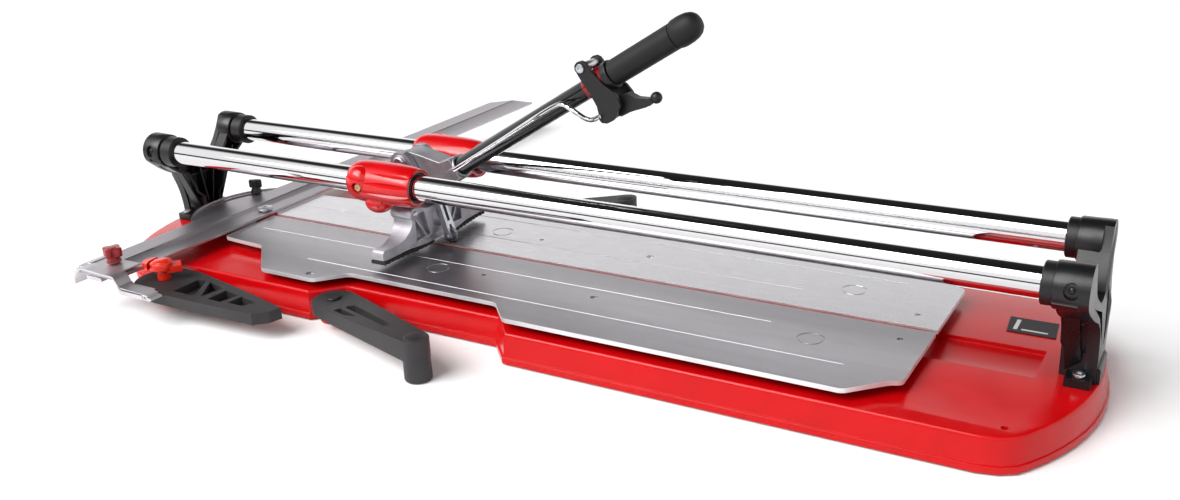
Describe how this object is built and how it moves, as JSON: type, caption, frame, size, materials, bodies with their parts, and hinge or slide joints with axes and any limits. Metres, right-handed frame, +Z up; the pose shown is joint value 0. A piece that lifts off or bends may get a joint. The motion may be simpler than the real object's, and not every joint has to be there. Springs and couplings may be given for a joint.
{
  "type": "tile cutter",
  "caption": "Manual tile cutter with a red tray, sprung aluminium tables, twin chromed rails, scoring handle, angled fence and swing-out support arms.",
  "frame": {"origin": "on the floor under the middle of the tray, at the face of the middle foot", "axes": "+X along the rails towards the stand furthest from the fence, +Y to the rear, +Z up"},
  "size_m": [1.22, 0.921, 0.3563],
  "materials": {
    "red_paint": "gloss",
    "red_plastic": "gloss",
    "rolled_aluminium": "satin",
    "cast_aluminium": "satin",
    "chrome_steel": "polished",
    "black_casting": "satin",
    "dark_plastic": "matte",
    "black_rubber": "matte",
    "zinc_steel": "satin"
  },
  "bodies": {
    "root": {"base_tray": "red_paint", "base_foot_1": "black_rubber", "base_foot_2": "black_rubber", "base_foot_3": "black_rubber", "base_foot_4": "black_rubber", "middle_foot": "black_rubber", "breaking_rib": "red_paint", "table_buffer_1": "black_rubber", "table_buffer_2": "black_rubber", "table_buffer_3": "black_rubber", "table_buffer_4": "black_rubber", "name_plate": "dark_plastic", "right_stand": "black_casting", "left_stand": "black_casting", "stand_screw_1": "zinc_steel", "stand_screw_2": "zinc_steel", "stand_screw_3": "zinc_steel", "stand_screw_4": "zinc_steel", "front_rail": "chrome_steel", "rear_rail": "chrome_steel", "front_left_sleeve": "black_rubber", "front_right_sleeve": "black_rubber", "rear_left_sleeve": "black_rubber", "rear_right_sleeve": "black_rubber", "fence_pivot_pin": "zinc_steel", "front_arm_pin": "zinc_steel", "rear_arm_pin": "zinc_steel", "side_arm_pin": "zinc_steel"},
    "front_table": {"front_table": "rolled_aluminium"},
    "rear_table": {"rear_table": "rolled_aluminium"},
    "fence": {"fence_bar": "rolled_aluminium", "protractor": "rolled_aluminium"},
    "angle_knob": {"angle_knob": "dark_plastic"},
    "stop": {"extending_stop": "rolled_aluminium", "stop_rubber": "black_rubber"},
    "stop_knob": {"stop_knob": "red_plastic"},
    "front_arm": {"front_arm": "dark_plastic"},
    "rear_arm": {"rear_arm": "dark_plastic"},
    "side_arm": {"side_arm": "dark_plastic"},
    "side_arm_knob": {"side_arm_knob": "red_plastic"},
    "carriage": {"carriage_body": "cast_aluminium", "front_bush": "black_rubber", "rear_bush": "black_rubber", "front_cover": "red_plastic", "rear_cover": "red_plastic", "wheel_holder": "zinc_steel", "wheel_axle": "zinc_steel", "handle_pivot_pin": "zinc_steel"},
    "scoring_wheel": {"scoring_wheel": "zinc_steel"},
    "handle": {"handle_fork": "cast_aluminium", "handle_tube": "black_casting", "grip": "black_rubber", "trigger_clamp": "dark_plastic"},
    "thumb_lever": {"thumb_lever": "dark_plastic"},
    "push_rod": {"push_rod": "chrome_steel"},
    "breaker_foot": {"breaker_foot": "cast_aluminium", "front_foot_pad": "black_rubber", "rear_foot_pad": "black_rubber"}
  },
  "joints": [
    {"name": "front_table_sink", "type": "slide", "parent": "root", "child": "front_table", "axis": [0, 0, 1], "range_m": [-0.002, 0], "stiffness_N_per_m": 20000, "springref_m": 0.003},
    {"name": "rear_table_sink", "type": "slide", "parent": "root", "child": "rear_table", "axis": [0, 0, 1], "range_m": [-0.002, 0], "stiffness_N_per_m": 20000, "springref_m": 0.003},
    {"name": "fence_swing", "type": "hinge", "parent": "root", "child": "fence", "pos_m": [-0.466, 0, 0.0535], "axis": [0, 0, 1], "range_deg": [-45, 0]},
    {"name": "angle_knob_turn", "type": "hinge", "parent": "root", "child": "angle_knob", "pos_m": [-0.53309, 0.05055, 0.065], "axis": [0, 0, 1], "range_deg": [-120, 120]},
    {"name": "stop_extend", "type": "slide", "parent": "fence", "child": "stop", "axis": [0, 1, 0], "range_m": [-0.12, 0]},
    {"name": "stop_knob_turn", "type": "hinge", "parent": "stop", "child": "stop_knob", "pos_m": [-0.487, -0.2335, 0.07], "axis": [0, 0, 1], "range_deg": [-120, 120]},
    {"name": "front_arm_swing", "type": "hinge", "parent": "root", "child": "front_arm", "pos_m": [-0.2, -0.164, 0.028], "axis": [0, 0, 1], "range_deg": [-69, 21]},
    {"name": "rear_arm_swing", "type": "hinge", "parent": "root", "child": "rear_arm", "pos_m": [-0.2, 0.164, 0.028], "axis": [0, 0, 1], "range_deg": [-31, 59]},
    {"name": "side_arm_swing", "type": "hinge", "parent": "root", "child": "side_arm", "pos_m": [-0.436, -0.205, 0.028], "axis": [0, 0, 1], "range_deg": [-90, 0]},
    {"name": "side_arm_knob_turn", "type": "hinge", "parent": "root", "child": "side_arm_knob", "pos_m": [-0.436, -0.205, 0.05], "axis": [0, 0, 1], "range_deg": [-60, 60]},
    {"name": "carriage_slide", "type": "slide", "parent": "root", "child": "carriage", "axis": [1, 0, 0], "range_m": [-0.28, 0.689]},
    {"name": "handle_swing", "type": "hinge", "parent": "carriage", "child": "handle", "pos_m": [-0.199, 0, 0.16], "axis": [0, 1, 0], "range_deg": [-65, 0]},
    {"name": "thumb_lever_squeeze", "type": "hinge", "parent": "handle", "child": "thumb_lever", "pos_m": [0.09009, 0, 0.24682], "axis": [0, 1, 0], "range_deg": [-18, 0], "stiffness_Nm_per_rad": 0.4, "springref_deg": 17.19},
    {"name": "push_rod_pull", "type": "slide", "parent": "handle", "child": "push_rod", "axis": [0.8572, 0, 0.515], "range_m": [0, 0.0037]},
    {"name": "breaker_foot_lift", "type": "slide", "parent": "carriage", "child": "breaker_foot", "axis": [0, 0, 1], "range_m": [0, 0.005]},
    {"name": "scoring_wheel_spin", "type": "hinge", "parent": "carriage", "child": "scoring_wheel", "pos_m": [-0.15, 0, 0.066], "axis": [0, 1, 0], "continuous": true}
  ],
  "couplings": [
    {"joint": "thumb_lever_squeeze", "follows": "push_rod_pull", "rad_per_m": -83.333},
    {"joint": "breaker_foot_lift", "follows": "handle_swing", "m_per_rad": -0.0044}
  ]
}
